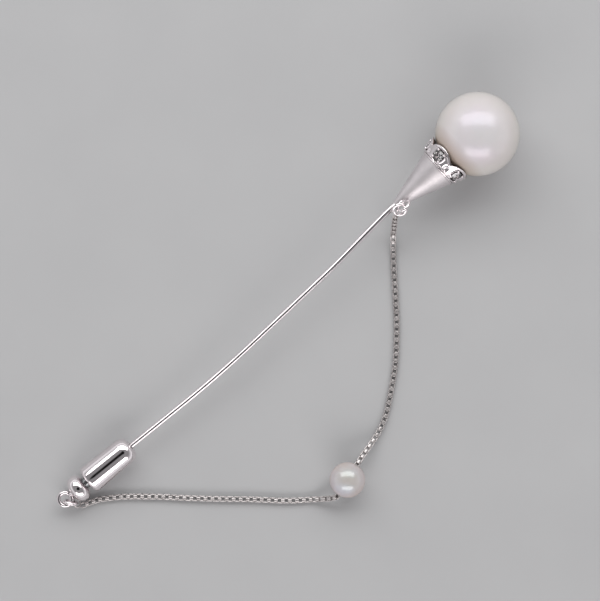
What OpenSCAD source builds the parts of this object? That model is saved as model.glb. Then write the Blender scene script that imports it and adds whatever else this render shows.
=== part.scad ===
// Pearl stick pin with a slide-on clutch and a safety chain.
// It lies on the plane z = 0 with the large pearl towards +X. Millimetres and degrees.

/* [Pin] */
// Diameter of the large pearl
large_pearl_d = 11.7; // [11:0.1:12.5]
// Distance from the large pearl's centre to the far end of the clutch's loop, along X
reach = 77.45; // [77.45:0.05:77.55]
// Rise of the pin towards the large pearl
pin_pitch = 3; // [2.8:0.05:3.1]
// Turn of the head's axis from +X
head_yaw = -0.7; // [-1:0.1:-0.4]
// Diameter of the pin's wire
wire_d = 0.8; // [0.7:0.02:0.9]
// Diameter of the ground end of the wire, inside the clutch
tip_d = 0.76; // [0.66:0.02:0.78]
// Length of wire inside the clutch
tip_length = 7.6; // [7:0.1:8]
// Length of the tip's taper
point_length = 2.6; // [1.5:0.1:3]

/* [Crown and cone] */
// Distance from the pearl's centre to the crown's scalloped edge
crown_front = 4.8; // [4.7:0.05:4.9]
// Distance from the pearl's centre to the dips between the lobes
crown_dip = 5.75; // [5.6:0.05:5.8]
// Distance from the pearl's centre to the stones
stone_s = 6.05; // [6:0.05:6.2]
// Distance from the pearl's centre to the joint of crown and cone
crown_back = 7.3; // [7.25:0.05:7.4]
// Distance from the pearl's centre to the cone's small end
cone_tip_s = 14.9; // [14.8:0.1:15.2]
// Radius of the crown at the scalloped edge
crown_front_r = 3.66; // [3.6:0.02:3.7]
// Radius of the crown at its rim
crown_back_r = 2.95; // [2.9:0.02:3]
// Radius of the cone at the crown
cone_r = 2.8; // [2.76:0.02:2.84]
// Radius of the cone at its small end
cone_tip_r = 0.5; // [0.48:0.01:0.55]
// Radius of a stone at its girdle
stone_r = 0.74; // [0.7:0.01:0.76]
// Turn of the first stone from straight up
stone_phase = 22; // [0:1:40]

/* [Clutch] */
// Length of the clutch's barrel
barrel_length = 7.7; // [7.65:0.05:7.75]
// Radius of the barrel at its rear edge
barrel_r = 2; // [1.95:0.01:2]
// Gap between the barrel and the knob
knob_gap = 0.5; // [0.45:0.01:0.55]
// Length of the knob
knob_length = 2.4; // [2.3:0.05:2.4]
// Radius of the knob
knob_r = 1.92; // [1.85:0.01:1.92]
// Radius of a locking ball
ball_r = 0.42; // [0.4:0.01:0.43]
// Half angle of the cone that wedges the balls
taper_angle = 9; // [8:0.5:10]
// Turns of the clutch's spring
spring_turns = 5; // [4:1:6]

/* [Chain and rings] */
// Width of the box chain
chain_w = 0.8; // [0.7:0.02:0.9]
// Diameter of the small pearl
small_pearl_d = 5; // [4.8:0.1:5]
// Wire radius of the rings
ring_wire_r = 0.225; // [0.2:0.005:0.25]
// Wire radius of the knob's loop
loop_wire_r = 0.28; // [0.26:0.005:0.28]

/* [Hidden] */
$fn = 48;

pearl_metal = "gainsboro";
satin_metal = "silver";
pearl_white = "whitesmoke";

pearl_r = large_pearl_d / 2;
wire_r = wire_d / 2;
tip_r = tip_d / 2;
play = 0.02;

// ---- Pearl seat
peg_r = 0.48;
peg_front = 1.5;
peg_back = crown_back - 0.1;
cup_r = 2.2;
cup_front = 4.95;
cup_back = 6.9;
crown_wall = 0.55;
lobe_steps = 7;
stone_count = 5;
stone_back_step = 0.55;
seat_r = stone_r + 0.04;
bead_r = 0.17;

// ---- Cone
solder_depth = 3.4;

// ---- Wire, from inside the cone to its straight shank.
// Each step is [length, 0] for a straight stretch or [bend radius, turn] for a bend.
wire_steps = [
    [4, 0],
    [23, 5],
    [7.5, 0],
    [92, -2.5],
    [13.5, 0],
    [170, -4.4],
];
wire_sides = 24;
wire_overlap = 0.3;
bend_parts = 4;
shank_length = 9.05;
shank_taper = 0.7;
wire_start = (cone_tip_s - solder_depth) * heading_vector(head_yaw);
wire_end = step_start(len(wire_steps));
clutch_yaw = step_heading(len(wire_steps));
clutch_nose = wire_end + shank_length * heading_vector(clutch_yaw);

// ---- Clutch, as distances back from its nose
barrel_nose_r = 0.95;
barrel_front_r = 1.92;
nose_dome = 1.4;
rear_round = 0.5;
barrel_bore_r = 1.48;
bush_nose_r = 0.7;
bush_length = 1.3;
flange_back = 1.7;
sleeve_back = 4.1;
ball_z = 2.9;
ball_d = tip_r + ball_r;
ball_wedge_r = ball_d + ball_r / cos(taper_angle) + 0.01;
cage_front = 2.1;
cage_r = 0.95;
cage_bore_r = 0.46;
cage_flange_r = 1.15;
cage_flange_front = 3.6;
cage_flange_back = 4;
plunger_r = 0.75;
plunger_back = 9.3;
rear_bush_front = 6.8;
spring_wire_r = 0.14;
spring_r = 1.08;
knob_front = barrel_length + knob_gap;
knob_back = knob_front + knob_length;
knob_flat = 0.04;
post_r = 0.42;
loop_r = 0.92;
loop_z = reach_left() - loop_r - loop_wire_r;

// ---- Rings
ring_r = 0.925;
eye_s = 14.2;
eye_offset = 1.65;
eye_turn = -30;
upper_ring_r = 0.875;
upper_ring_centre = [20.85, -0.72, 6.19];
upper_ring_axis = [0.35, 0.47, -0.81];
lower_ring_r = 0.85;
lower_ring_wire_r = 0.24;
lower_ring_centre = [-40.2, -0.88, 1.7];
lower_ring_axis = [0.78, 0.61, 0.17];
end_link_r = 0.68;
end_link_wire_r = 0.12;
end_link_centre = [-39.66, -1.46, 1.01];
end_link_axis = [-0.76, 0.14, -0.63];

// ---- Chain routes: points of the chain's centre line, z = 0.4 where it lies down
chain_sides = 8;
rings_per_stretch = 2;
upper_route = [
    [19.7, -1.1, 5.25],
    [19.3, -1.5, 4],
    [18.7, -2.1, 2.5],
    [17.9, -2.9, 1.2],
    [16.7, -4.3, 0.5],
    [15.2, -6.1, 0.4],
    [12.6, -9.4, 0.4],
    [10, -12.6, 0.4],
    [7.1, -15.7, 0.4],
    [5.6, -17.1, 0.4],
    [4, -18.4, 0.4],
    [2.3, -19.7, 0.4],
    [0.6, -20.9, 0.4],
    [-1.2, -21.8, 0.5],
    [-3.2, -22.4, 0.8],
    [-5.1, -22.8, 1.6],
    [-7, -23.3, 2.5],
    [-9.3, -24, 2.5],
    [-11.4, -24.6, 2.5],
];
lower_route = [
    [-11.9, -24.75, 2.4],
    [-12.6, -24.5, 1.8],
    [-13.5, -23.9, 1.1],
    [-14.4, -23.2, 0.6],
    [-15.3, -22.5, 0.4],
    [-16.7, -21.4, 0.4],
    [-18.3, -20, 0.4],
    [-21.3, -17.1, 0.4],
    [-24.4, -14.3, 0.4],
    [-27.4, -11.5, 0.4],
    [-30.4, -8.6, 0.4],
    [-33.5, -5.8, 0.4],
    [-35.1, -4.55, 0.4],
    [-36.6, -3.5, 0.4],
    [-37.6, -2.95, 0.4],
    [-38.74, -2.52, 0.42],
    [-39.38, -2.25, 0.46],
];
small_pearl_centre = [-9.3, -24, small_pearl_d / 2];
small_pearl_yaw = 16.5;
small_bore_r = 0.62;

// ---- Functions

// Unit vector of travel along the pin, away from the large pearl, in the pin's plane
function heading_vector(yaw) = [-cos(yaw), -sin(yaw)];

// Yaw at the start of step i of the wire
function step_heading(i) = i == 0 ? head_yaw : step_heading(i - 1) + wire_steps[i - 1][1];

// Straight distance across a step of the wire
function step_chord(step) =
    step[1] == 0 ? step[0] : 2 * step[0] * sin(abs(step[1]) / 2);

// Place at the start of step i of the wire
function step_start(i) =
    i == 0
        ? wire_start
        : step_start(i - 1)
            + step_chord(wire_steps[i - 1])
                * heading_vector(step_heading(i - 1) + wire_steps[i - 1][1] / 2);

// Distance from the clutch's nose to the far end of its loop
function reach_left() = (reach / cos(pin_pitch) + clutch_nose[0]) / cos(clutch_yaw);

// Radius of the crown's outside at a distance from the pearl's centre
function crown_radius(s) =
    crown_front_r
        + (crown_back_r - crown_front_r) * (s - crown_front) / (crown_back - crown_front);

// Point at t, from 0 to 1, between b and c on a smooth curve through a, b, c and d
function curve_point(a, b, c, d, t) =
    0.5 * (2 * b + (c - a) * t + (2 * a - 5 * b + 4 * c - d) * t * t
        + (3 * b - a - 3 * c + d) * t * t * t);

// Smooth centre line through a route's points
function smooth_route(route) = [
    for (i = [0 : len(route) - 2], k = [0 : rings_per_stretch - 1])
        curve_point(
            route[max(i - 1, 0)], route[i], route[i + 1],
            route[min(i + 2, len(route) - 1)], k / rings_per_stretch
        ),
    route[len(route) - 1]
];

function unit(v) = v / norm(v);

// Direction of a line of points at point i
function direction(points, i) =
    unit(points[min(i + 1, len(points) - 1)] - points[max(i - 1, 0)]);

// Corners of the tube's ring at point i
function tube_ring(points, i, r, sides) =
    let (
        along = direction(points, i),
        across = unit(cross(along, [0, 0, 1])),
        up = cross(across, along)
    )
    [
        for (k = [0 : sides - 1])
            let (a = 360 * (k + 0.5) / sides)
            points[i] + r * (cos(a) * across + sin(a) * up)
    ];

// ---- Helpers

// A closed tube around a line of points
module tube(points, r, sides) {
    n = len(points);
    corners = [for (i = [0 : n - 1]) each tube_ring(points, i, r, sides)];
    skin = [
        for (i = [0 : n - 2], k = [0 : sides - 1])
            let (j = (k + 1) % sides)
            [i * sides + k, i * sides + j, (i + 1) * sides + j, (i + 1) * sides + k]
    ];
    first_cap = [for (k = [sides - 1 : -1 : 0]) k];
    last_cap = [for (k = [0 : sides - 1]) (n - 1) * sides + k];
    polyhedron(corners, concat([first_cap], skin, [last_cap]));
}

// The pin's plane: origin at the large pearl's centre, x up the pin
module in_pin_plane() {
    translate([overall_pearl_x(), 0, pearl_r])
        rotate([0, -pin_pitch, 0])
            children();
}

// X of the large pearl's centre, which centres the whole pin on the origin
function overall_pearl_x() = (reach - pearl_r) / 2;

// Along the head: z runs from the pearl's centre towards the clutch, x is up
module along_head() {
    in_pin_plane()
        rotate([0, -90, head_yaw])
            children();
}

// Along the clutch: z runs from its nose to its loop, x is up
module along_clutch() {
    in_pin_plane()
        translate([clutch_nose[0], clutch_nose[1], 0])
            rotate([0, -90, clutch_yaw])
                children();
}

// Turns z onto a direction
module aim(v) {
    rotate([0, acos(v[2] / norm(v)), atan2(v[1], v[0])])
        children();
}

// A ring of round wire around z
module ring(r, wire) {
    rotate_extrude()
        translate([r, 0])
            circle(wire);
}

// Stands a child on the crown's outside, at stone number i, facing out
module at_stone(i) {
    slope = atan((crown_front_r - crown_back_r) / (crown_back - crown_front));
    rotate([0, 0, stone_phase - 360 * i / stone_count])
        translate([crown_radius(stone_s), 0, stone_s])
            rotate([0, 90 - slope, 0])
                children();
}

// ---- Head

module large_pearl() {
    color(pearl_white)
        in_pin_plane()
            difference() {
                sphere(pearl_r);
                rotate([0, -90, head_yaw])
                    translate([0, 0, peg_front - 0.2])
                        cylinder(h = pearl_r, r = peg_r + play);
            }
}

// Dish behind the pearl that carries the peg
module pearl_cup() {
    color(satin_metal)
        along_head()
            difference() {
                translate([0, 0, cup_front])
                    cylinder(h = cup_back - cup_front, r = cup_r);
                sphere(pearl_r + play);
                cylinder(h = crown_back, r = peg_r);
            }
}

// Peg glued into the pearl
module pearl_peg() {
    color(satin_metal)
        along_head()
            translate([0, 0, peg_front])
                cylinder(h = peg_back - peg_front, r = peg_r);
}

// Space between two round lobes, flat, with the front towards -y
module lobe_gap() {
    half = crown_radius(stone_s) * sin(180 / stone_count);
    depth = crown_dip - crown_front;
    lobe_r = (half * half + depth * depth) / (2 * depth);
    side = [
        for (k = [0 : lobe_steps])
            let (x = half * k / lobe_steps)
            [half - x, lobe_r - depth - sqrt(lobe_r * lobe_r - x * x)]
    ];
    mirrored = [for (i = [lobe_steps - 1 : -1 : 0]) [-side[i][0], side[i][1]]];
    polygon(concat([[half, -2]], side, mirrored, [[-half, -2]]));
}

module crown_band() {
    color(pearl_metal)
        along_head()
            difference() {
                rotate_extrude()
                    polygon([
                        [crown_front_r - 1.5, crown_front],
                        [crown_front_r, crown_front],
                        [crown_back_r, crown_back],
                        [crown_back_r - crown_wall, crown_back],
                        [cup_r + play, crown_back - 0.5],
                        [cup_r + play, crown_front + 0.5]
                    ]);
                sphere(pearl_r + play);
                for (i = [0 : stone_count - 1])
                    rotate([0, 0, stone_phase - 360 * (i + 0.5) / stone_count])
                        translate([0, 0, crown_dip])
                            rotate([90, 0, 90])
                                linear_extrude(height = crown_front_r + 1)
                                    lobe_gap();
                for (i = [0 : stone_count - 1])
                    at_stone(i)
                        translate([0, 0, -stone_back_step])
                            cylinder(h = 2, r = seat_r);
            }
}

// Round brilliant stone number i
module crown_stone(i) {
    color("white")
        along_head()
            at_stone(i)
                rotate_extrude()
                    polygon([
                        [0, -stone_back_step],
                        [stone_r, 0],
                        [stone_r, 0.05],
                        [stone_r * 0.57, 0.25],
                        [0, 0.25]
                    ]);
}

// Beads raised from the crown to hold the stones, four around each
module crown_beads() {
    color(pearl_metal)
        along_head()
            for (i = [0 : stone_count - 1], a = [45 : 90 : 315])
                at_stone(i)
                    rotate([0, 0, a])
                        translate([seat_r + bead_r * 0.75, 0, 0])
                            sphere(bead_r);
}

module cone() {
    color(satin_metal)
        along_head()
            difference() {
                translate([0, 0, crown_back])
                    cylinder(h = cone_tip_s - crown_back, r1 = cone_r, r2 = cone_tip_r);
                translate([0, 0, cone_tip_s - solder_depth])
                    cylinder(h = solder_depth + 1, r = wire_r);
            }
}

// Ring soldered to the cone near its tip
module cone_eye() {
    color(pearl_metal)
        along_head()
            difference() {
                rotate([0, 0, eye_turn])
                    translate([eye_offset, 0, eye_s])
                        rotate([90, 0, 0])
                            ring(ring_r, ring_wire_r);
                translate([0, 0, crown_back])
                    cylinder(h = cone_tip_s - crown_back, r1 = cone_r, r2 = cone_tip_r);
            }
}

// ---- Wire

// Centre line of the bent wire, in the pin's plane, let into the straight ends
function wire_line() = [
    step_start(1) - wire_overlap * heading_vector(step_heading(1)),
    for (i = [1 : len(wire_steps) - 1], k = [0 : wire_steps[i][1] == 0 ? 0 : bend_parts - 1])
        let (part_turn = wire_steps[i][1] * k / bend_parts)
        step_start(i)
            + 2 * wire_steps[i][0] * sin(abs(part_turn) / 2)
                * heading_vector(step_heading(i) + part_turn / 2),
    wire_end,
    wire_end + wire_overlap * heading_vector(clutch_yaw)
];

// The wire: soldered end, bent middle, straight shank, short taper, ground end and point
module pin_wire() {
    color(pearl_metal) {
        along_head()
            translate([0, 0, cone_tip_s - solder_depth])
                cylinder(h = wire_steps[0][0], r = wire_r);
        in_pin_plane()
            tube([for (p = wire_line()) [p[0], p[1], 0]], wire_r - 0.001, wire_sides);
        along_clutch()
            union() {
                translate([0, 0, -shank_length])
                    cylinder(h = shank_length - shank_taper, r = wire_r);
                translate([0, 0, -shank_taper])
                    cylinder(h = shank_taper, r1 = wire_r, r2 = tip_r);
                cylinder(h = tip_length - point_length, r = tip_r);
                translate([0, 0, tip_length - point_length])
                    cylinder(h = point_length, r1 = tip_r, r2 = 0.05);
            }
    }
}

// ---- Clutch

// Outline of the barrel's outside as [radius, z]: domed nose, slight flare and round rear edge
function barrel_outline() = [
    for (a = [0 : 10 : 90])
        [
            barrel_nose_r + (barrel_front_r - barrel_nose_r) * sin(a),
            nose_dome * (1 - cos(a))
        ],
    for (a = [0 : 15 : 90])
        [
            barrel_r - rear_round * (1 - cos(a)),
            barrel_length - rear_round + rear_round * sin(a)
        ]
];

module clutch_barrel() {
    color(pearl_metal)
        along_clutch()
            difference() {
                rotate_extrude()
                    polygon(concat([[0, 0]], barrel_outline(), [[0, barrel_length]]));
                translate([0, 0, bush_length])
                    cylinder(h = barrel_length, r = barrel_bore_r);
                translate([0, 0, -1])
                    cylinder(h = bush_length + 2, r = bush_nose_r);
            }
}

// Bush that guides the pin through the nose
module nose_bush() {
    color(satin_metal)
        along_clutch()
            difference() {
                union() {
                    cylinder(h = bush_length, r = bush_nose_r);
                    translate([0, 0, bush_length])
                        cylinder(h = flange_back - bush_length, r = barrel_bore_r);
                }
                translate([0, 0, -1])
                    cylinder(h = flange_back + 2, r = wire_r + play);
            }
}

// Sleeve whose cone narrows towards the nose and wedges the balls onto the pin
module taper_sleeve() {
    color(satin_metal)
        along_clutch()
            difference() {
                translate([0, 0, flange_back])
                    cylinder(h = sleeve_back - flange_back, r = barrel_bore_r);
                translate([0, 0, flange_back])
                    cylinder(
                        h = sleeve_back - flange_back,
                        r1 = ball_wedge_r - (ball_z - flange_back) * tan(taper_angle),
                        r2 = ball_wedge_r + (sleeve_back - ball_z) * tan(taper_angle)
                    );
            }
}

// Bush that closes the barrel and guides the plunger
module rear_bush() {
    color(satin_metal)
        along_clutch()
            difference() {
                translate([0, 0, rear_bush_front])
                    cylinder(h = barrel_length - rear_bush_front, r = barrel_bore_r);
                translate([0, 0, rear_bush_front - 1])
                    cylinder(h = barrel_length, r = plunger_r + 0.03);
            }
}

// Spring that pushes the ball cage towards the nose
module clutch_spring() {
    steps = 16;
    length = rear_bush_front - cage_flange_back - 2 * spring_wire_r - 0.04;
    coil = [
        for (i = [0 : spring_turns * steps])
            let (a = 360 * i / steps)
            [
                spring_r * cos(a),
                spring_r * sin(a),
                length * i / (spring_turns * steps)
            ]
    ];
    color("lightsteelblue")
        along_clutch()
            translate([0, 0, cage_flange_back + spring_wire_r + 0.02])
                tube(coil, spring_wire_r, 6);
}

// Cage for the balls and the plunger that joins it to the knob, one turned piece
module ball_cage() {
    color(satin_metal)
        along_clutch()
            difference() {
                union() {
                    translate([0, 0, cage_front])
                        cylinder(h = cage_flange_front - cage_front, r = cage_r);
                    translate([0, 0, cage_flange_front])
                        cylinder(h = cage_flange_back - cage_flange_front, r = cage_flange_r);
                    translate([0, 0, cage_flange_back])
                        cylinder(h = plunger_back - cage_flange_back, r = plunger_r);
                }
                translate([0, 0, cage_front - 1])
                    cylinder(h = knob_front - cage_front + 1, r = cage_bore_r);
                for (k = [0 : 2])
                    rotate([0, 0, 120 * k])
                        translate([0, 0, ball_z])
                            rotate([0, 90, 0])
                                cylinder(h = 3, r = ball_r + 0.03);
            }
}

module locking_ball(k) {
    color("lightsteelblue")
        along_clutch()
            rotate([0, 0, 120 * k])
                translate([ball_d + 0.005, 0, ball_z])
                    sphere(ball_r);
}

// Half an oval turned round: the knob that is pulled to free the pin
module knob() {
    mid = (knob_front + knob_back) / 2;
    half = knob_length / 2;
    edge = acos(1 - knob_flat / half);
    color(pearl_metal)
        along_clutch()
            difference() {
                rotate_extrude()
                    polygon(concat(
                        [[0, mid - half * cos(edge)]],
                        [
                            for (k = [0 : 16])
                                let (a = edge + (180 - 2 * edge) * k / 16)
                                [knob_r * sin(a), mid - half * cos(a)]
                        ],
                        [[0, mid + half * cos(edge)]]
                    ));
                translate([0, 0, knob_front - 1])
                    cylinder(h = plunger_back - knob_front + 1, r = plunger_r);
            }
}

// Loop soldered to the knob on a short post
module knob_loop() {
    color(pearl_metal)
        along_clutch()
            difference() {
                union() {
                    translate([0, 0, loop_z])
                        rotate([0, 90, 0])
                            ring(loop_r, loop_wire_r);
                    translate([0, 0, knob_back - knob_flat])
                        cylinder(h = loop_z - loop_r - knob_back + knob_flat, r = post_r);
                }
                translate([-1, 0, loop_z])
                    rotate([0, 90, 0])
                        cylinder(h = 2, r = loop_r - loop_wire_r);
            }
}

// ---- Chain, its rings and the small pearl

module upper_jump_ring() {
    color(pearl_metal)
        translate(upper_ring_centre)
            aim(upper_ring_axis)
                ring(upper_ring_r, ring_wire_r);
}

module lower_jump_ring() {
    color(pearl_metal)
        translate(lower_ring_centre)
            aim(lower_ring_axis)
                ring(lower_ring_r, lower_ring_wire_r);
}

module chain_end_link() {
    color(pearl_metal)
        translate(end_link_centre)
            aim(end_link_axis)
                ring(end_link_r, end_link_wire_r);
}

module chain_upper() {
    color(satin_metal)
        tube(smooth_route(upper_route), chain_w / 2, chain_sides);
}

module chain_lower() {
    color(satin_metal)
        tube(smooth_route(lower_route), chain_w / 2, chain_sides);
}

module small_pearl() {
    color("mistyrose")
        translate(small_pearl_centre)
            difference() {
                sphere(small_pearl_d / 2);
                rotate([0, 0, small_pearl_yaw])
                    rotate([0, 90, 0])
                        cylinder(h = small_pearl_d, r = small_bore_r, center = true);
            }
}

large_pearl();
pearl_cup();
pearl_peg();
crown_band();
for (i = [0 : stone_count - 1])
    crown_stone(i);
crown_beads();
cone();
pin_wire();
cone_eye();
upper_jump_ring();
chain_upper();
small_pearl();
chain_lower();
chain_end_link();
lower_jump_ring();
clutch_barrel();
nose_bush();
taper_sleeve();
rear_bush();
clutch_spring();
ball_cage();
for (k = [0 : 2])
    locking_ball(k);
knob();
knob_loop();
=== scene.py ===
"""Looks for the pearl stick pin: pearls, polished and satin silver, stones and box chain, built round the
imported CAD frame. The scene is in metres, and shapes are made in millimetres."""

import math
import random

import bmesh
import bpy
from mathutils import Matrix, Vector, noise


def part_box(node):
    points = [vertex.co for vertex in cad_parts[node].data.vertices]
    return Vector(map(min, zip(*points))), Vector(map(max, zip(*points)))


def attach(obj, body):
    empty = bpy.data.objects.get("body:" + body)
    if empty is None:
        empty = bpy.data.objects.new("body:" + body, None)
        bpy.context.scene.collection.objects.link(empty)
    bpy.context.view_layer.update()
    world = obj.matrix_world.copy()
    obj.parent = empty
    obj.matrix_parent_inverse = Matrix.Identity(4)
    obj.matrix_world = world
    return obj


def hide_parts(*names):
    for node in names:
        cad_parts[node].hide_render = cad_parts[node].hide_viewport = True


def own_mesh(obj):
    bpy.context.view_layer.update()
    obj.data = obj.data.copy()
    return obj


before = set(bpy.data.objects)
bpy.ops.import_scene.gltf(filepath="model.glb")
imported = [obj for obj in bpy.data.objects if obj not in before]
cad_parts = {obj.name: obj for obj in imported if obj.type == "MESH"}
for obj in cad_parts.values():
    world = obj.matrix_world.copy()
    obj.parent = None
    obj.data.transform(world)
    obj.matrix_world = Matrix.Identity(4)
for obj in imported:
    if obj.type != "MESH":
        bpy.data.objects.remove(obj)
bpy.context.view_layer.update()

MM = 0.001
TAU = 2 * math.pi

# ---- The pin's own lines, as in the CAD: yaw and pitch in degrees, lengths in millimetres
PIN_PITCH = 3
HEAD_YAW = -0.7
CONE_TIP = 14.9
CONE_SOLDER = 3.4
SHANK = 9.05
SHANK_TAPER = 0.7
SHANK_R = 0.4
TIP_R = 0.38
TIP_LENGTH = 7.6
POINT_LENGTH = 2.6
POINT_R = 0.035
# Each step is (length, 0) for a straight stretch or (bend radius, turn) for a bend
WIRE_STEPS = [(4, 0), (23, 5), (7.5, 0), (92, -2.5), (13.5, 0), (170, -4.4)]

# The chain's centre line, as in the CAD
UPPER_ROUTE = [
    (19.7, -1.1, 5.25), (19.3, -1.5, 4), (18.7, -2.1, 2.5), (17.9, -2.9, 1.2),
    (16.7, -4.3, 0.5), (15.2, -6.1, 0.4), (12.6, -9.4, 0.4), (10, -12.6, 0.4),
    (7.1, -15.7, 0.4), (5.6, -17.1, 0.4), (4, -18.4, 0.4), (2.3, -19.7, 0.4),
    (0.6, -20.9, 0.4), (-1.2, -21.8, 0.5), (-3.2, -22.4, 0.8), (-5.1, -22.8, 1.6),
    (-7, -23.3, 2.5), (-9.3, -24, 2.5), (-11.4, -24.6, 2.5),
]
LOWER_ROUTE = [
    (-11.9, -24.75, 2.4), (-12.6, -24.5, 1.8), (-13.5, -23.9, 1.1), (-14.4, -23.2, 0.6),
    (-15.3, -22.5, 0.4), (-16.7, -21.4, 0.4), (-18.3, -20, 0.4), (-21.3, -17.1, 0.4),
    (-24.4, -14.3, 0.4), (-27.4, -11.5, 0.4), (-30.4, -8.6, 0.4), (-33.5, -5.8, 0.4),
    (-35.1, -4.55, 0.4), (-36.6, -3.5, 0.4), (-37.6, -2.95, 0.4), (-38.74, -2.52, 0.42),
    (-39.38, -2.25, 0.46),
]
# A point of the small pearl's hole, which the lower half's first link reaches to
IN_SMALL_PEARL = (-11.48, -24.64, 2.43)
# Links stand a pitch apart, each turned at random by up to LINK_SWAY degrees. Each kind is its length, width,
# band height, side wall, end wall, corner radius and bevel.
LINK_PITCH = 0.49
LONG_LINK = (0.94, 0.78, 0.42, 0.17, 0.1, 0.16, 0.04)
SHORT_LINK = (0.56, 0.76, 0.41, 0.09, 0.09, 0.09, 0.03)
LINK_SWAY = 2

# The world's grey by the height that it is seen at, 0 at the horizon and 1 overhead
SKY = [
    (0, 0.9), (0.2, 0.8), (0.42, 0.5), (0.6, 0.28), (0.75, 0.24), (0.93, 0.26), (0.966, 0.24), (0.98, 0.01),
    (1, 0.005),
]


# ---- Camera, floor and light


def middle(node):
    """Centre of a CAD node's box."""
    low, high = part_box(node)
    return (low + high) / 2


def add_camera():
    """Straight above, with a long lens, the pin running up to the right. Returns its roll in degrees."""
    distance = 0.46
    width = 0.0833
    roll = 41.5
    aim = Vector((0.00228, -0.00098, 0.003))
    data = bpy.data.cameras.new("camera")
    data.sensor_width = 36
    data.lens = data.sensor_width * distance / width
    data.clip_start = 0.01
    data.clip_end = 10
    camera = bpy.data.objects.new("camera", data)
    camera.location = aim + Vector((0, 0, distance))
    camera.rotation_euler = (0, 0, -math.radians(roll))
    bpy.context.collection.objects.link(camera)
    bpy.context.scene.camera = camera
    return roll


def add_softbox(name, bearing, polar, distance, size, power, colour=(1, 1, 1)):
    """An area light aimed at the object, bearing turned from the picture's right, polar from straight up."""
    light = bpy.data.lights.new(name, "AREA")
    light.shape = "RECTANGLE"
    light.size, light.size_y = size
    light.energy = power
    light.color = colour
    lamp = bpy.data.objects.new(name, light)
    turn = math.radians(bearing - CAMERA_ROLL)
    tilt = math.radians(polar)
    out = Vector((math.sin(tilt) * math.cos(turn), math.sin(tilt) * math.sin(turn), math.cos(tilt)))
    lamp.location = out * distance
    lamp.rotation_euler = out.to_track_quat("Z", "Y").to_euler()
    lamp.visible_camera = False
    bpy.context.collection.objects.link(lamp)


def add_world():
    """A studio dome: dark overhead, where the camera hangs, grey round it and paler towards the floor."""
    world = bpy.data.worlds.new("studio")
    world.use_nodes = True
    bpy.context.scene.world = world
    tree = world.node_tree
    tree.nodes.clear()
    coord = tree.nodes.new("ShaderNodeTexCoord")
    split = tree.nodes.new("ShaderNodeSeparateXYZ")
    ramp = tree.nodes.new("ShaderNodeValToRGB")
    back = tree.nodes.new("ShaderNodeBackground")
    out = tree.nodes.new("ShaderNodeOutputWorld")
    elements = ramp.color_ramp.elements
    elements[0].position, elements[1].position = SKY[0][0], SKY[-1][0]
    for position, _ in SKY[1:-1]:
        elements.new(position)
    for element, (_, grey) in zip(elements, SKY):
        element.color = (grey, grey, grey * 1.02, 1)
    tree.links.new(coord.outputs["Generated"], split.inputs[0])
    tree.links.new(split.outputs["Z"], ramp.inputs["Fac"])
    tree.links.new(ramp.outputs["Color"], back.inputs["Color"])
    back.inputs["Strength"].default_value = 1.0
    tree.links.new(back.outputs[0], out.inputs["Surface"])


bpy.context.scene.view_settings.view_transform = "Standard"
CAMERA_ROLL = add_camera()
add_world()
add_softbox("upper_softbox", bearing=90, polar=43, distance=0.5, size=(0.9, 0.32), power=2.35)
add_softbox("lower_softbox", bearing=270, polar=54, distance=0.5, size=(0.6, 0.22), power=1.1,
            colour=(1, 0.975, 0.97))


# ---- Materials


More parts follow.
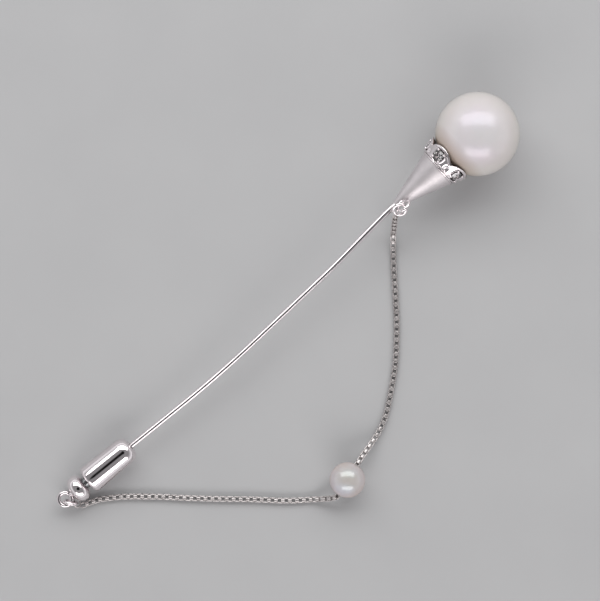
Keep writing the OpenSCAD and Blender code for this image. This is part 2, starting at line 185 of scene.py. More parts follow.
class Shader:
    """A Principled material and short ways to feed it from noise in the object's own coordinates. Scales are
    per metre, and depths in metres."""

    def __init__(self, name, **constants):
        self.material = bpy.data.materials.new(name)
        self.material.use_nodes = True
        self.nodes = self.material.node_tree.nodes
        self.links = self.material.node_tree.links
        self.bsdf = self.nodes["Principled BSDF"]
        self.coord = self.nodes.new("ShaderNodeTexCoord").outputs["Object"]
        for socket, value in constants.items():
            self.bsdf.inputs[socket.replace("_", " ")].default_value = value

    def stretched(self, scale):
        """Object coordinates scaled by a vector, so that noise on them runs along one direction."""
        node = self.nodes.new("ShaderNodeMapping")
        node.inputs["Scale"].default_value = scale
        self.links.new(self.coord, node.inputs["Vector"])
        return node.outputs[0]

    def noise(self, scale, detail, vector=None, distortion=0):
        """Noise, most of it between 0.3 and 0.7."""
        node = self.nodes.new("ShaderNodeTexNoise")
        node.inputs["Scale"].default_value = scale
        node.inputs["Detail"].default_value = detail
        node.inputs["Distortion"].default_value = distortion
        self.links.new(vector or self.coord, node.inputs["Vector"])
        return node.outputs["Fac"]

    def ramp(self, value, stops):
        """A colour ramp, stops as (position, colour)."""
        node = self.nodes.new("ShaderNodeValToRGB")
        elements = node.color_ramp.elements
        elements[0].position, elements[-1].position = stops[0][0], stops[-1][0]
        for position, _ in stops[1:-1]:
            elements.new(position)
        for element, (_, colour) in zip(elements, stops):
            element.color = (*colour, 1)
        self.links.new(value, node.inputs["Fac"])
        return node.outputs["Color"]

    def spread(self, value, low, high, source=(0.3, 0.7)):
        """A value mapped from source to the range low to high."""
        node = self.nodes.new("ShaderNodeMapRange")
        for socket, number in zip(("From Min", "From Max", "To Min", "To Max"), (*source, low, high)):
            node.inputs[socket].default_value = number
        self.links.new(value, node.inputs["Value"])
        return node.outputs["Result"]

    def mix(self, factor, first, second):
        """The first colour where factor is 0 and the second where it is 1."""
        node = self.nodes.new("ShaderNodeMix")
        node.data_type = "RGBA"
        self.links.new(factor, node.inputs["Factor"])
        for socket, colour in ((node.inputs["A"], first), (node.inputs["B"], second)):
            if isinstance(colour, tuple):
                socket.default_value = (*colour, 1)
            else:
                self.links.new(colour, socket)
        return node.outputs["Result"]

    def bump(self, height, depth, strength):
        """Bump of a depth in metres, on top of any bump already there."""
        node = self.nodes.new("ShaderNodeBump")
        node.inputs["Distance"].default_value = depth
        node.inputs["Strength"].default_value = strength
        self.links.new(height, node.inputs["Height"])
        socket = self.bsdf.inputs["Normal"]
        if socket.is_linked:
            self.links.new(socket.links[0].from_socket, node.inputs["Normal"])
        self.links.new(node.outputs[0], socket)

    def recess(self, reach, low, high):
        """0 in a recess narrower than reach, 1 on open surface: the mask for painted shade in recesses."""
        node = self.nodes.new("ShaderNodeAmbientOcclusion")
        node.samples = 8
        node.inputs["Distance"].default_value = reach
        return self.spread(node.outputs["AO"], 0, 1, (low, high))

    def feed(self, socket, output):
        """Links an output to one of the shader's own sockets."""
        self.links.new(output, self.bsdf.inputs[socket])


def polished_silver():
    """Rhodium-bright silver: a mirror with faint wipe marks, a little tone from handling, and painted shade
    darkening its recesses.
    """
    s = Shader("polished_silver", Metallic=1.0)
    tone = s.noise(420, 4)
    bright = s.ramp(tone, [(0.3, (0.85, 0.795, 0.81)), (0.7, (0.93, 0.87, 0.885))])
    # Painted shade: the colour turns almost black in recesses narrower than half a millimetre
    s.feed("Base Color", s.mix(s.recess(0.0005, 0.25, 0.8), (0.16, 0.145, 0.145), bright))
    s.feed("Roughness", s.spread(s.noise(900, 4), 0.035, 0.11))
    s.bump(s.noise(1, 3, s.stretched((500, 9000, 9000))), 1.2e-6, 0.35)
    s.bump(s.noise(700, 2), 6e-6, 0.3)
    return s.material


def satin_silver():
    """Silver blasted to an even satin, with a fine grain."""
    s = Shader("satin_silver", Metallic=1.0)
    tone = s.noise(600, 5)
    s.feed("Base Color", s.ramp(tone, [(0.3, (0.66, 0.622, 0.635)), (0.7, (0.74, 0.698, 0.712))]))
    s.feed("Roughness", s.spread(s.noise(5200, 3), 0.47, 0.58))
    s.bump(s.noise(14000, 3), 5e-6, 0.5)
    s.bump(s.noise(2600, 2), 4e-6, 0.25)
    return s.material


def chain_silver():
    """Pressed strip: bright on its flats, its roughness varying at random, with painted shade darkening it in
    the recesses between links.
    """
    s = Shader("chain_silver", Metallic=1.0)
    tone = s.noise(1500, 4)
    bright = s.ramp(tone, [(0.3, (0.54, 0.505, 0.495)), (0.7, (0.72, 0.68, 0.67))])
    # Painted shade: the colour turns almost black in recesses narrower than 0.4 mm
    s.feed("Base Color", s.mix(s.recess(0.0004, 0.1, 0.55), (0.05, 0.048, 0.045), bright))
    s.feed("Roughness", s.spread(s.noise(3000, 3), 0.34, 0.5))
    s.bump(s.noise(9000, 3), 2e-6, 0.4)
    return s.material


def inner_steel():
    """Drawn and turned steel inside the clutch, with fine lines along it and painted shade darkening it in
    recesses.
    """
    s = Shader("inner_steel", Metallic=1.0)
    lines = s.noise(1, 4, s.stretched((900, 15000, 15000)))
    bright = s.ramp(lines, [(0.3, (0.42, 0.43, 0.44)), (0.7, (0.6, 0.61, 0.62))])
    # Painted shade: the colour turns almost black in recesses narrower than 0.8 mm
    s.feed("Base Color", s.mix(s.recess(0.0008, 0.3, 0.9), (0.07, 0.068, 0.07), bright))
    s.feed("Roughness", s.spread(s.noise(2500, 3), 0.2, 0.38))
    s.bump(lines, 2e-6, 0.5)
    return s.material


def nacre(name, body, overtone, roughness, lustre, film, painted_reflection_span=None):
    """Pearl: soft scattering nacre with a thin film's overtone, under a clear skin that carries the lights,
    its colour drifting over it, with tiny growth marks. roughness and lustre are the skin's roughness and
    IOR, and film is in nanometres. The last argument is the stretch of x, in metres, over which painted
    warm reflection and shade of the setting turn it brown, towards the crown."""
    s = Shader(
        name, Coat_Weight=1.0, Coat_Roughness=roughness, Coat_IOR=lustre,
        Subsurface_Weight=0.15, Subsurface_Radius=(1.0, 0.9, 0.8), Subsurface_Scale=0.0006,
        IOR=1.6, Roughness=0.42, Thin_Film_Thickness=film, Thin_Film_IOR=1.38,
    )
    drift = s.noise(170, 3, distortion=0.6)
    cloud = s.noise(520, 4)
    base = s.mix(s.spread(drift, 0, 1, (0.38, 0.62)), body, overtone)
    dull = tuple(c * 0.95 for c in body)
    base = s.mix(s.spread(cloud, 0, 0.6, (0.4, 0.75)), base, dull)
    # Painted warm reflection and shade of the setting: the pearl's colour turns brown towards the crown, over
    # this stretch of x
    if painted_reflection_span:
        split = s.nodes.new("ShaderNodeSeparateXYZ")
        s.links.new(s.coord, split.inputs[0])
        base = s.mix(s.spread(split.outputs["X"], 0.9, 0, painted_reflection_span), base, (0.4, 0.31, 0.23))
    s.feed("Base Color", base)
    s.bump(s.noise(380, 3), 7e-6, 0.3)
    s.bump(s.noise(3500, 2), 1e-6, 0.2)
    return s.material


def clear_stone():
    """Cut stone: clear, highly refracting, with faint polishing lines."""
    s = Shader("clear_stone", Transmission_Weight=1.0, IOR=2.0)
    s.feed("Base Color", s.ramp(s.noise(900, 2), [(0.3, (0.99, 0.95, 0.955)), (0.7, (1, 0.98, 0.985))]))
    s.feed("Roughness", s.spread(s.noise(4000, 2), 0.0, 0.02))
    s.bump(s.noise(6000, 2), 1e-7, 0.1)
    return s.material


def floor_surface():
    """Pale matt board."""
    s = Shader("pale_board", IOR=1.4)
    tone = s.noise(60, 5)
    s.feed("Base Color", s.ramp(tone, [(0.3, (0.46, 0.46, 0.465)), (0.7, (0.48, 0.48, 0.484))]))
    s.feed("Roughness", s.spread(s.noise(900, 3), 0.6, 0.7))
    s.bump(s.noise(2500, 4), 1e-5, 0.25)
    return s.material


POLISHED = polished_silver()
SATIN = satin_silver()
CHAIN = chain_silver()
STEEL = inner_steel()
STONE = clear_stone()
# The white pearl carries painted warm reflection and shade of the setting near the crown
WHITE_NACRE = nacre("white_nacre", body=(0.69, 0.67, 0.66), overtone=(0.69, 0.65, 0.655),
                    roughness=0.24, lustre=1.76, film=310, painted_reflection_span=(0.0305, 0.0328))
ROSE_NACRE = nacre("rose_nacre", body=(0.55, 0.487, 0.445), overtone=(0.57, 0.535, 0.55),
                   roughness=0.18, lustre=2.05, film=370)


# ---- Mesh helpers. Shapes are made in millimetres and put in place by a matrix.


def build(name, verts, faces, material, matrix=None, smooth=True):
    """A mesh object in metres from points in millimetres."""
    mesh = bpy.data.meshes.new(name)
    matrix = matrix or Matrix.Identity(4)
    mesh.from_pydata([(matrix @ Vector(v)) * MM for v in verts], [], faces)
    bm = bmesh.new()
    bm.from_mesh(mesh)
    bmesh.ops.recalc_face_normals(bm, faces=bm.faces)
    bm.to_mesh(mesh)
    bm.free()
    mesh.materials.append(material)
    if smooth:
        mesh.shade_smooth()
    piece = bpy.data.objects.new(name, mesh)
    bpy.context.collection.objects.link(piece)
    return piece


def place(piece, body, slot, *nodes):
    """The piece rides on a body and stands for CAD nodes, which it hides. slot is not used."""
    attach(piece, body)
    if nodes:
        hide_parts(*nodes)
    return piece


def grid_faces(rows, columns, close_rows=False):
    """Quads of rows of points, each row a closed ring. close_rows joins the last row to the first."""
    faces = []
    for i in range(rows if close_rows else rows - 1):
        for j in range(columns):
            a, b = i * columns, ((i + 1) % rows) * columns
            k = (j + 1) % columns
            faces.append((a + j, a + k, b + k, b + j))
    return faces


def join(*parts):
    """One list of points and faces from several."""
    verts, faces = [], []
    for part_verts, part_faces in parts:
        shift = len(verts)
        verts += part_verts
        faces += [tuple(i + shift for i in face) for face in part_faces]
    return verts, faces


def moved(part, matrix):
    """The part's points moved by a matrix."""
    verts, faces = part
    return [matrix @ Vector(v) for v in verts], faces


def rounded(corners, radius, closed=False):
    """A line through corner points, each corner cut to an arc. radius is one number, or a list with one for
    each corner."""
    count, steps = len(corners), 5
    points = []
    for i, corner in enumerate(corners):
        here = Vector(corner)
        size = radius[i] if isinstance(radius, (list, tuple)) else radius
        if size == 0 or (not closed and i in (0, count - 1)):
            points.append(here)
            continue
        back = Vector(corners[i - 1]) - here
        ahead = Vector(corners[(i + 1) % count]) - here
        reach = min(size, back.length * 0.49, ahead.length * 0.49)
        start, end = here + back.normalized() * reach, here + ahead.normalized() * reach
        for k in range(steps + 1):
            t = k / steps
            points.append(start * (1 - t) ** 2 + here * 2 * t * (1 - t) + end * t * t)
    return points


def lathe(outline, segments, closed=False):
    """An outline of (radius, z) turned round z. A point on the axis becomes one vertex."""
    verts, rows = [], []
    for radius, z in outline:
        if radius < 1e-6:
            rows.append([len(verts)] * segments)
            verts.append((0, 0, z))
        else:
            rows.append(list(range(len(verts), len(verts) + segments)))
            verts += [(radius * math.cos(TAU * k / segments), radius * math.sin(TAU * k / segments), z)
                      for k in range(segments)]
    faces = []
    for i in range(len(rows) if closed else len(rows) - 1):
        low, high = rows[i], rows[(i + 1) % len(rows)]
        for j in range(segments):
            k = (j + 1) % segments
            face = [low[j], low[k], high[k], high[j]]
            face = [v for n, v in enumerate(face) if v != face[n - 1]]
            if len(face) > 2:
                faces.append(tuple(face))
    return verts, faces


def torus(major, minor, around, across, cut=0):
    """A ring round z. cut is the angle of its split, in degrees."""
    if not cut:
        outline = [(major + minor * math.cos(TAU * k / across), minor * math.sin(TAU * k / across))
                   for k in range(across)]
        return lathe(outline, around, closed=True)
    half = math.radians(cut) / 2
    line = []
    for k in range(around + 1):
        a = half + (TAU - 2 * half) * k / around
        line.append(Vector((major * math.cos(a), major * math.sin(a), 0)))
    return tube(line, lambda _: minor, across)


def tube(line, radius, sides):
    """A tube of round section along a line that never runs straight up, radius a function of the point's
    number. The edges of its ends are cut off by a share of the radius."""
    cut = 0.12
    last = len(line) - 1
    rings = []
    for i, spot in enumerate(line):
        ahead = (line[min(i + 1, last)] - line[max(i - 1, 0)]).normalized()
        across = ahead.cross(Vector((0, 0, 1))).normalized()
        over = across.cross(ahead)
        size = radius(i)
        if i == 0:
            rings += [(spot, across, over, size * (1 - cut)), (spot + ahead * size * cut, across, over, size)]
        elif i == last:
            rings += [(spot - ahead * size * cut, across, over, size), (spot, across, over, size * (1 - cut))]
        else:
            rings.append((spot, across, over, size))
    verts = []
    for centre, across, over, size in rings:
        for k in range(sides):
            a = TAU * (k + 0.5) / sides
            verts.append(centre + (across * math.cos(a) + over * math.sin(a)) * size)
    rows = len(rings)
    faces = grid_faces(rows, sides)
    faces.append(tuple(range(sides)))
    faces.append(tuple((rows - 1) * sides + k for k in reversed(range(sides))))
    return verts, faces


def smooth_route(route, parts):
    """A smooth centre line through a route's points, as in the CAD."""
    points = [Vector(p) for p in route]
    line = []
    for i in range(len(points) - 1):
        a, b = points[max(i - 1, 0)], points[i]
        c, d = points[i + 1], points[min(i + 2, len(points) - 1)]
        for k in range(parts):
            t = k / parts
            line.append(0.5 * (2 * b + (c - a) * t + (2 * a - 5 * b + 4 * c - d) * t ** 2
                               + (3 * b - a - 3 * c + d) * t ** 3))
    return line + [points[-1]]


def evenly(line, pitch):
    """Points a pitch apart along a line, with the direction of travel at each."""
    spots, travelled, want = [], 0.0, pitch / 2
    for a, b in zip(line, line[1:]):
        step = (b - a).length
        while want <= travelled + step:
            spots.append((a.lerp(b, (want - travelled) / step), (b - a).normalized()))
            want += pitch
        travelled += step
    return spots


# ---- Frames of the head and the clutch

PEARL_CENTRE = middle("large_pearl") / MM
PEARL_R = PEARL_CENTRE.z


def pin_plane():
    """The pin's plane: origin at the large pearl's centre, x up the pin."""
    return Matrix.Translation(PEARL_CENTRE) @ Matrix.Rotation(-math.radians(PIN_PITCH), 4, "Y")


def along(yaw, at=(0, 0)):
    """z runs down the pin at a yaw, from a point of the pin's plane, and x is up."""
    spot = Matrix.Translation((at[0], at[1], 0))
    turn = Matrix.Rotation(math.radians(yaw), 4, "Z") @ Matrix.Rotation(-math.pi / 2, 4, "Y")
    return pin_plane() @ spot @ turn


def heading(yaw):
    """Unit vector of travel down the pin, in its plane."""
    return Vector((-math.cos(math.radians(yaw)), -math.sin(math.radians(yaw))))


def wire_path():
    """The wire's centre line in the pin's plane, and the yaw and place where its shank starts."""
    yaw = HEAD_YAW
    spot = (CONE_TIP - CONE_SOLDER) * heading(yaw)
    line = [spot.copy()]
    for size, turn in WIRE_STEPS:
        parts = 10 if turn else 3
        for k in range(parts):
            if turn:
                part = turn / parts
                spot = spot + 2 * size * math.sin(math.radians(abs(part)) / 2) * heading(yaw + part / 2)
                yaw += part
            else:
                spot = spot + size / parts * heading(yaw)
            line.append(spot.copy())
    return line, yaw, spot


WIRE_LINE, CLUTCH_YAW, SHANK_START = wire_path()
HEAD = along(HEAD_YAW)
CLUTCH = along(CLUTCH_YAW, SHANK_START + SHANK * heading(CLUTCH_YAW))

# The head, by distance down the pin from the large pearl's centre and by radius
CROWN_FRONT, CROWN_DIP, CROWN_BACK = 4.8, 5.75, 7.3
CROWN_FRONT_R, CROWN_BACK_R = 3.66, 2.95
STONE_S, STONE_R, STONE_COUNT, STONE_PHASE = 6.05, 0.74, 5, 22
STONE_DEPTH, STONE_HEIGHT, STONE_SINK = 0.36, 0.26, 0.03
CONE_R, CONE_TIP_R = 2.8, 0.5
EYE_S, EYE_OUT, EYE_R, EYE_WIRE_R, EYE_TURN = 14.2, 1.65, 0.925, 0.225, -30
# How far parts of the crown stand out of its plain cone, or are sunk in it
COLLAR_RISE, SEAT_LIP_RISE, STEP_RISE = 0.08, 0.1, 0.1
FIELD_DEPTH, SEAT_DEPTH, PINCH_DEPTH, GROOVE_DEPTH = 0.1, 0.34, 0.22, 0.12
GROOVE_S = 7.06
# The beads: radius, distance from the stone's middle, and lean over it in degrees
BEAD_R, BEAD_OUT, BEAD_LEAN = 0.17, 0.86, 18


def crown_radius(s):
    """Radius of the crown's plain cone at a distance from the pearl's centre."""
    return CROWN_FRONT_R + (CROWN_BACK_R - CROWN_FRONT_R) * (s - CROWN_FRONT) / (CROWN_BACK - CROWN_FRONT)


def at_stone(i):
    """Stands on the crown's outside at stone number i, z facing out."""
    slope = math.atan((CROWN_FRONT_R - CROWN_BACK_R) / (CROWN_BACK - CROWN_FRONT))
    turn = Matrix.Rotation(math.radians(STONE_PHASE - 360 * i / STONE_COUNT), 4, "Z")
    spot = Matrix.Translation((crown_radius(STONE_S), 0, STONE_S))
    return HEAD @ turn @ spot @ Matrix.Rotation(math.pi / 2 - slope, 4, "Y")


# ---- Pearls

OUT_OF_ROUND = 0.0015
# Points nearer the middle than this share of the radius are the hole's, and stay as they are
HOLE_SHARE = 0.97
SMALL_BORE_R, SMALL_YAW = 0.62, 16.5


def pearl(name, centre, radius, material, seed, marks, bore=0, yaw=0):
    """A pearl a little out of round, with a few shallow growth marks and, if bored, a hole with a worn
    edge."""
    draw = random.Random(seed)
    if bore:
        inner = math.asin((bore + 0.06) / radius)
        arc = [(radius * math.sin(inner + (math.pi - 2 * inner) * k / 96),
                -radius * math.cos(inner + (math.pi - 2 * inner) * k / 96)) for k in range(97)]
        mouth = radius * math.cos(inner)
        outline = arc + [(bore + 0.015, mouth - 0.02), (bore, mouth - 0.08)]
        outline += [(bore, 0.08 - mouth), (bore + 0.015, 0.02 - mouth)]
        verts, faces = lathe(outline, 128, closed=True)
    else:
        turns = [math.pi * k / 112 for k in range(113)]
        outline = [(radius * math.sin(a), -radius * math.cos(a)) for a in turns]
        outline[0], outline[-1] = (0, -radius), (0, radius)
        verts, faces = lathe(outline, 160)
    pits = []
    for _ in range(marks):
        way = Vector((draw.uniform(-1, 1), draw.uniform(-1, 1), draw.uniform(-0.6, 1))).normalized()
        pits.append((way, draw.uniform(0.12, 0.3), draw.uniform(0.006, 0.016)))
    shift = Vector([draw.uniform(0, 50) for _ in range(3)])
    shaped = []
    for v in verts:
        v = Vector(v)
        if v.length < radius * HOLE_SHARE:
            shaped.append(v)
            continue
        way = v.normalized()
        sag = OUT_OF_ROUND * radius * noise.noise(way * 1.6 + shift) - OUT_OF_ROUND * radius
        for spot, width, depth in pits:
            gap = (way - spot).length * radius
            sag -= depth * math.exp(-(gap / width) ** 2)
        shaped.append(v + way * sag)
    matrix = Matrix.Translation(centre) @ Matrix.Rotation(math.radians(yaw), 4, "Z")
    if bore:
        matrix = matrix @ Matrix.Rotation(math.pi / 2, 4, "Y")
    return build(name, shaped, faces, material, matrix)


def add_pearls():
    """Both pearls. Returns the small one, which is threaded on the chain."""
    large = pearl("large_pearl_nacre", PEARL_CENTRE, PEARL_R, WHITE_NACRE, 3, 9)
    place(large, "pin", "white_pearl", "large_pearl")
    low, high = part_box("small_pearl")
    small = pearl(
        "small_pearl_nacre", (low + high) / 2 / MM, (high.z - low.z) / 2 / MM, ROSE_NACRE, 5, 5,
        bore=SMALL_BORE_R, yaw=SMALL_YAW,
    )
    return place(small, "small_pearl", "rose_pearl", "small_pearl")


# ---- Crown, stones and cone


def lobe_offset(angle):
    """Distance round the crown from the middle of the nearest lobe, over the distance to the dip."""
    step = TAU / STONE_COUNT
    return abs((angle - math.radians(STONE_PHASE) + step / 2) % step - step / 2) / (step / 2)


def crown_edge(angle):
    """Distance from the pearl's centre to the scalloped edge: a round lobe over each stone, a sharp dip
    between two."""
    half = crown_radius(STONE_S) * math.sin(math.pi / STONE_COUNT)
    depth = CROWN_DIP - CROWN_FRONT
    bend = (half ** 2 + depth ** 2) / (2 * depth)
    return CROWN_FRONT + bend - math.sqrt(bend ** 2 - (half * lobe_offset(angle)) ** 2)


def smooth_step(value, low, high):
    """0 up to low, 1 from high, and a smooth rise between."""
    t = min(max((value - low) / (high - low), 0), 1)
    return t * t * (3 - 2 * t)


def crown_surface(angle, s):
    """Radius of the crown's outside: a raised collar along each lobe, a sunk field with the stone's seat in
    it, a pinch at the dips, and a step and a groove along the joint with the cone."""
    off = lobe_offset(angle)
    across = off * crown_radius(STONE_S) * math.pi / STONE_COUNT
    gap = math.hypot(across, s - STONE_S)
    inside = s - crown_edge(angle)
    collar = 1 - smooth_step(inside, 0.3, 0.42)
    seat = 1 - smooth_step(gap, 0.74, 0.86)
    seat_lip = math.exp(-((gap - 0.98) / 0.09) ** 2) * smooth_step(inside, 0.35, 0.5)
    pinch = smooth_step(off, 0.72, 1) * smooth_step(s, 5.9, 6.4) * (1 - smooth_step(s, 6.7, 6.95))
    step = smooth_step(s, 6.78, 6.86)
    groove = math.exp(-((s - GROOVE_S) / 0.05) ** 2)
    rise = COLLAR_RISE * collar + SEAT_LIP_RISE * seat_lip + STEP_RISE * step
    sunk = FIELD_DEPTH * (1 - collar) + SEAT_DEPTH * seat + PINCH_DEPTH * pinch + GROOVE_DEPTH * groove
    return crown_radius(s) + rise - sunk


def add_crown():
    """The scalloped band, from its edge over the outside to the rim and back along the inside."""
    columns, outside, inside = 720, 96, 10
    verts = []
    for row in range(outside + inside):
        for column in range(columns):
            angle = TAU * column / columns
            edge = crown_edge(angle)
            if row < outside:
                t = row / (outside - 1)
                s = edge + (CROWN_BACK - edge) * t
                radius = crown_surface(angle, s) - 0.08 * math.exp(-t * 45)
                radius -= 0.06 * smooth_step(t, 0.97, 1)
            else:
                t = 1 - (row - outside + 0.5) / inside
                s = edge + 0.03 + (CROWN_BACK - edge - 0.06) * t
                clear = math.sqrt(max(PEARL_R ** 2 - s ** 2, 0)) + 0.03
                radius = max(min(crown_radius(s) - 0.55, crown_surface(angle, s) - 0.12), clear)
                radius = min(radius, crown_surface(angle, s) - 0.03)
            verts.append((radius * math.cos(angle), radius * math.sin(angle), s))
    faces = grid_faces(outside + inside, columns, close_rows=True)
    band = build("crown_band_polished", verts, faces, POLISHED, HEAD)
    place(band, "pin", "polished_silver", "crown_band")


def brilliant(radius, depth, height):
    """A round brilliant: table, star, kite and girdle facets above, pavilion mains and halves below."""

    def circle(count, share, z, turn=0.0):
        """Points round the stone at a share of its radius, turned by a share of their spacing."""
        return [(radius * share * math.cos(TAU * (k + turn) / count),
                 radius * share * math.sin(TAU * (k + turn) / count), z) for k in range(count)]
    points = circle(8, 0.56, height) + circle(8, 0.8, height * 0.62, 0.5)
    points += circle(16, 1, 0.05) + circle(16, 1, 0) + circle(8, 0.62, -depth * 0.42, 0.5)
    points += circle(8, 0.03, -depth)
    bm = bmesh.new()
    for point in points:
        bm.verts.new(point)
    bmesh.ops.convex_hull(bm, input=bm.verts)
    bmesh.ops.dissolve_limit(bm, angle_limit=math.radians(1), verts=bm.verts, edges=bm.edges)
    bm.verts.index_update()
    verts = [v.co.copy() for v in bm.verts]
    faces = [tuple(v.index for v in f.verts) for f in bm.faces]
    bm.free()
    return verts, faces


def add_stones():
    """A cut stone in each lobe, each turned its own way."""
    verts, faces = brilliant(STONE_R, STONE_DEPTH, STONE_HEIGHT)
    sink = Matrix.Translation((0, 0, -STONE_SINK))
    for i in range(STONE_COUNT):
        turn = Matrix.Rotation(math.radians(11 + 17 * i), 4, "Z")
        node = f"crown_stone_{i + 1}"
        stone = build(f"{node}_cut", verts, faces, STONE, at_stone(i) @ sink @ turn, smooth=False)
        place(stone, "pin", "clear_stone", node)


def add_beads():
    """Raised beads, four round each stone, each drawn up from the metal and leaning over the girdle."""
    parts = []
    turns = [TAU / 4 * k / 7 for k in range(7)]
    outline = [(0, -0.16), (0.21, -0.16), (0.19, -0.1), (0.165, -0.03)]
    outline += [(BEAD_R * math.cos(a), 0.03 + BEAD_R * math.sin(a)) for a in turns]
    outline += [(0, 0.03 + BEAD_R)]
    spot = Matrix.Translation((BEAD_OUT, 0, 0.02))
    lean = Matrix.Rotation(math.radians(-BEAD_LEAN), 4, "Y")
    for i in range(STONE_COUNT):
        for quarter in range(4):
            turn = Matrix.Rotation(math.radians(45 + 90 * quarter), 4, "Z")
            parts.append(moved(lathe(outline, 20), at_stone(i) @ turn @ spot @ lean))
    verts, faces = join(*parts)
    beads = build("crown_beads_raised", verts, faces, POLISHED)
    place(beads, "pin", "polished_silver", "crown_beads")


def add_cone():
    """Solid satin cone, soft at both ends, with the wire let into its tip."""
    bottom = CONE_TIP - CONE_SOLDER
    corners = [(0, CROWN_BACK), (CONE_R, CROWN_BACK), (CONE_TIP_R, CONE_TIP - 0.02),
               (SHANK_R + 0.02, CONE_TIP + 0.04), (SHANK_R, CONE_TIP + 0.04), (SHANK_R, bottom), (0, bottom)]
    outline = rounded(corners, [0, 0.06, 0.08, 0.02, 0, 0, 0])
    dense, step = [], 0.35
    for a, b in zip(outline, outline[1:]):
        parts = max(1, int((b - a).length / step))
        dense += [a.lerp(b, k / parts) for k in range(parts)]
    verts, faces = lathe([tuple(p) for p in dense + outline[-1:]], 128)
    place(build("cone_satin", verts, faces, SATIN, HEAD), "pin", "satin_silver", "cone")


def add_cone_eye():
    """The soldered ring, with a small pool of solder where it meets the cone."""
    spot = Matrix.Translation((EYE_OUT, 0, EYE_S)) @ Matrix.Rotation(math.pi / 2, 4, "X")
    ring = moved(torus(EYE_R, EYE_WIRE_R, 80, 24), spot)
    pool_outline = [(0, 0.14), (0.16, 0.125), (0.3, 0.08), (0.42, 0.02), (0.5, -0.08), (0.5, -0.2), (0, -0.2)]
    spot = Matrix.Translation((0.78, 0, EYE_S)) @ Matrix.Diagonal((1, 0.7, 1.35, 1))
    pool = moved(lathe(pool_outline, 32), spot @ Matrix.Rotation(math.pi / 2, 4, "Y"))
    matrix = HEAD @ Matrix.Rotation(math.radians(EYE_TURN), 4, "Z")
    verts, faces = join(ring, pool)
    place(build("cone_eye_soldered", verts, faces, POLISHED, matrix), "pin", "polished_silver", "cone_eye")


# ---- Wire


def add_wire():
    """Bent wire, straight shank, ground end and long point, in one sweep."""
    way = heading(CLUTCH_YAW)
    line = [Vector((p.x, p.y, 0)) for p in WIRE_LINE]
    radii = [SHANK_R] * len(line)
    even = TIP_LENGTH - POINT_LENGTH
    stations = [((SHANK - SHANK_TAPER) * k / 6, SHANK_R) for k in range(1, 7)]
    stations += [(SHANK, TIP_R)]
    stations += [(SHANK + even * k / 3, TIP_R) for k in range(1, 4)]
    for k in range(1, 13):
        t = k / 12
        stations.append((SHANK + even + POINT_LENGTH * t, TIP_R * (1 - t ** 1.35) + POINT_R))
    for distance, radius in stations:
        spot = SHANK_START + distance * way
        line.append(Vector((spot.x, spot.y, 0)))
        radii.append(radius)
    verts, faces = tube(line, lambda i: radii[i], 40)
    place(build("pin_wire_drawn", verts, faces, POLISHED, pin_plane()), "pin", "polished_silver", "pin_wire")


# ---- Clutch and knob

# By distance down the pin from the clutch's nose
BARREL_LENGTH, BARREL_R, BARREL_FLARE = 7.7, 1.92, 0.08
NOSE_HOLE_R, NOSE_WALL, BORE_R = 0.7, 1.3, 1.48
KNOB_FRONT, KNOB_LENGTH, KNOB_R = 8.2, 2.4, 1.92
LOOP_R, LOOP_WIRE_R = 0.92, 0.28


def arc(centre_r, centre_z, size_r, size_z, start, end, steps):
    """Points of a quarter oval of an outline, angles in degrees from the radius."""
    angles = [math.radians(start + (end - start) * k / steps) for k in range(steps + 1)]
    return [(centre_r + size_r * math.cos(a), centre_z + size_z * math.sin(a)) for a in angles]


def add_barrel():
    """The shell: domed nose with a small flat round the bush, slight flare, rolled rear edge, and hollow."""
    dome, edge = 1.4, 0.5
    outer = [(NOSE_HOLE_R, 0.03), (NOSE_HOLE_R + 0.03, 0)] + arc(0.95, dome, 0.97, dome, -90, 0, 22)
    flare = BARREL_LENGTH - edge - dome
    outer += [(BARREL_R + BARREL_FLARE * k / 8, dome + flare * k / 8) for k in range(1, 8)]
    outer += arc(BARREL_R + BARREL_FLARE - edge, BARREL_LENGTH - edge, edge, edge, 0, 88, 12)
    inner = [(BORE_R, BARREL_LENGTH - 0.04), (BORE_R, NOSE_WALL + 0.02), (BORE_R - 0.02, NOSE_WALL),
             (NOSE_HOLE_R + 0.02, NOSE_WALL), (NOSE_HOLE_R, NOSE_WALL - 0.02)]
    verts, faces = lathe(outer + inner, 128, closed=True)
    barrel = build("clutch_barrel_polished", verts, faces, POLISHED, CLUTCH)
    place(barrel, "clutch", "polished_silver", "clutch_barrel")


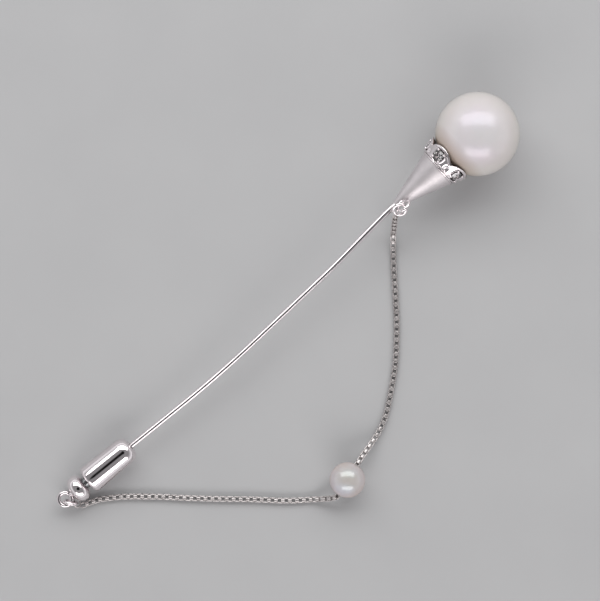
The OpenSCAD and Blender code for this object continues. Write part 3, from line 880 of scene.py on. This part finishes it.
def add_knob():
    """The pull knob, a full oval with a flat behind, and the loop on its post."""
    half = KNOB_LENGTH / 2
    mid = KNOB_FRONT + half

    def skin(turn):
        """A point of the outline, turn from the front. The front is squarer than the back."""
        power = 0.72 if turn < math.pi / 2 else 0.87
        out = math.cos(turn)
        return KNOB_R * math.sin(turn) ** power, mid - half * math.copysign(abs(out) ** power, out)

    first, last = math.radians(19), math.radians(158)
    shell = [skin(first + (last - first) * k / 48) for k in range(49)]
    rear = shell[-1][1]
    outline = [(0, KNOB_FRONT + 0.95), (0.76, KNOB_FRONT + 0.93), (0.8, shell[0][1] + 0.05), *shell]
    outline += [(0.3, rear + 0.04), (0, rear + 0.05)]
    verts, faces = lathe(outline, 112)
    place(build("knob_polished", verts, faces, POLISHED, CLUTCH), "knob", "polished_silver", "knob")

    # The loop reaches to the end of the CAD's loop
    nose = CLUTCH.translation
    far = -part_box("knob_loop")[0].x / MM - 0.01
    reach = (nose.x + far) / math.cos(math.radians(PIN_PITCH)) / math.cos(math.radians(CLUTCH_YAW))
    loop_z = reach - LOOP_R - LOOP_WIRE_R
    spot = Matrix.Translation((0, 0, loop_z)) @ Matrix.Rotation(math.pi / 2, 4, "Y")
    loop = moved(torus(LOOP_R, LOOP_WIRE_R, 80, 24), spot)
    back = KNOB_FRONT + KNOB_LENGTH
    top = loop_z - LOOP_R + LOOP_WIRE_R * 0.5
    post = [(0, back - 0.25), (0.62, back - 0.2), (0.5, back - 0.02), (0.42, back + 0.08),
            (0.36, top - 0.15), (0.3, top - 0.04), (0, top)]
    verts, faces = join(loop, lathe(post, 48))
    place(build("knob_loop_soldered", verts, faces, POLISHED, CLUTCH), "knob", "polished_silver", "knob_loop")


# ---- Rings and chain


def aimed(centre, axis, spin):
    """Puts z on an axis at a centre, turned by spin degrees round it."""
    turn = Vector(axis).to_track_quat("Z", "Y").to_matrix().to_4x4()
    return Matrix.Translation(centre) @ turn @ Matrix.Rotation(math.radians(spin), 4, "Z")


def add_ring(name, node, body, slot, centre, axis, major, minor, cut=0, spin=0):
    """A jump ring with a split of cut degrees, turned by spin degrees, or a closed link if cut is 0."""
    verts, faces = torus(major, minor, 72, 20, cut)
    material = CHAIN if slot == "chain_silver" else POLISHED
    piece = build(name, verts, faces, material, aimed(centre, axis, spin))
    return place(piece, body, slot, *([node] if node else []))


def box_link(length, width, band, side, end, corner, bevel):
    """One link of box chain: a frame with rounded corners, bent from strip, open along its z, with side and
    end walls of their own thickness."""

    def frame_line(x, y, radius):
        """The frame's inner or outer line, x and y from its middle."""
        return rounded([(-x, -y), (x, -y), (x, y), (-x, y)], radius, closed=True)

    outer = frame_line(length / 2, width / 2, corner)
    inner = frame_line(length / 2 - end, width / 2 - side, corner / 2)
    edge = bevel / min(side, end)
    top, brim = band / 2, band / 2 - bevel
    section = [(edge, -top), (0, -brim), (0, brim), (edge, top),
               (1 - edge, top), (1, brim), (1, -brim), (1 - edge, -top)]
    rings = [[(*a.lerp(b, share).xy, z) for a, b in zip(outer, inner)] for share, z in section]
    verts = [v for ring in rings for v in ring]
    return verts, grid_faces(len(rings), len(outer), close_rows=True)


def chain_half(name, node, body, route, seed, lead=()):
    """Half of the safety chain: long links that lie flat, joined by short ones that stand. lead holds points
    before the route, which the links start from. The line that it returns is the route's alone."""
    draw = random.Random(seed)
    line = smooth_route(route, 24)
    kinds = (box_link(*LONG_LINK), box_link(*SHORT_LINK))
    parts = []
    for k, (spot, way) in enumerate(evenly([Vector(p) for p in lead] + line, LINK_PITCH)):
        across = way.cross(Vector((0, 0, 1))).normalized()
        over = across.cross(way)
        turn = Matrix((way, across, over)).transposed().to_4x4()
        tilt = draw.uniform(-LINK_SWAY, LINK_SWAY)
        roll = Matrix.Rotation(math.pi / 2 * (k % 2) + math.radians(tilt), 4, "X")
        sway = Matrix.Rotation(math.radians(draw.uniform(-LINK_SWAY, LINK_SWAY)), 4, "Z")
        parts.append(moved(kinds[k % 2], Matrix.Translation(spot) @ turn @ sway @ roll))
    verts, faces = join(*parts)
    piece = build(name, verts, faces, CHAIN)
    place(piece, body, "chain_silver", node)
    return piece, line


small = add_pearls()
upper, upper_line = chain_half("chain_upper_links", "chain_upper", "upper_chain", UPPER_ROUTE, 11)
lower, lower_line = chain_half(
    "chain_lower_links", "chain_lower", "lower_chain", LOWER_ROUTE, 12, [IN_SMALL_PEARL],
)
add_ring("upper_ring", "upper_jump_ring", "upper_chain", "polished_silver", centre=(20.85, -0.72, 6.19),
         axis=(0.35, 0.47, -0.81), major=0.875, minor=0.225, cut=4, spin=150)
add_ring("upper_chain_link", None, "upper_chain", "chain_silver", centre=(19.88, -0.95, 5.53),
         axis=(0.62, -0.78, 0.0), major=0.42, minor=0.12)
add_ring("lower_ring", "lower_jump_ring", "lower_chain", "polished_silver", centre=(-40.2, -0.88, 1.7),
         axis=(0.78, 0.61, 0.17), major=0.85, minor=0.24, cut=4, spin=200)
end_link = add_ring("lower_chain_link", "chain_end_link", "lower_chain", "chain_silver",
                    centre=(-39.66, -1.46, 1.01), axis=(-0.76, 0.14, -0.63), major=0.68, minor=0.12)
add_crown()
add_stones()
add_beads()
add_cone()
add_cone_eye()
add_wire()
add_barrel()
add_knob()

# ---- Pieces inside the clutch and behind the pearl keep their CAD shape


def finish_inside(material, *nodes):
    """Gives CAD nodes a finish."""
    for node in nodes:
        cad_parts[node].data.materials.clear()
        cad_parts[node].data.materials.append(material)


finish_inside(SATIN, "pearl_cup", "pearl_peg", "nose_bush", "taper_sleeve", "rear_bush")
finish_inside(STEEL, "clutch_spring", "ball_cage", "locking_ball_1", "locking_ball_2", "locking_ball_3")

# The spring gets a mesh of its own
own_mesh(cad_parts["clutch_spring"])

# ---- Floor
FLOOR_HALF = 3
floor_mesh = bpy.data.meshes.new("floor")
floor_corners = [(-1, -1, 0), (1, -1, 0), (1, 1, 0), (-1, 1, 0)]
floor_mesh.from_pydata([Vector(c) * FLOOR_HALF for c in floor_corners], [], [(0, 1, 2, 3)])
floor_mesh.materials.append(floor_surface())
floor = bpy.data.objects.new("floor", floor_mesh)
bpy.context.collection.objects.link(floor)
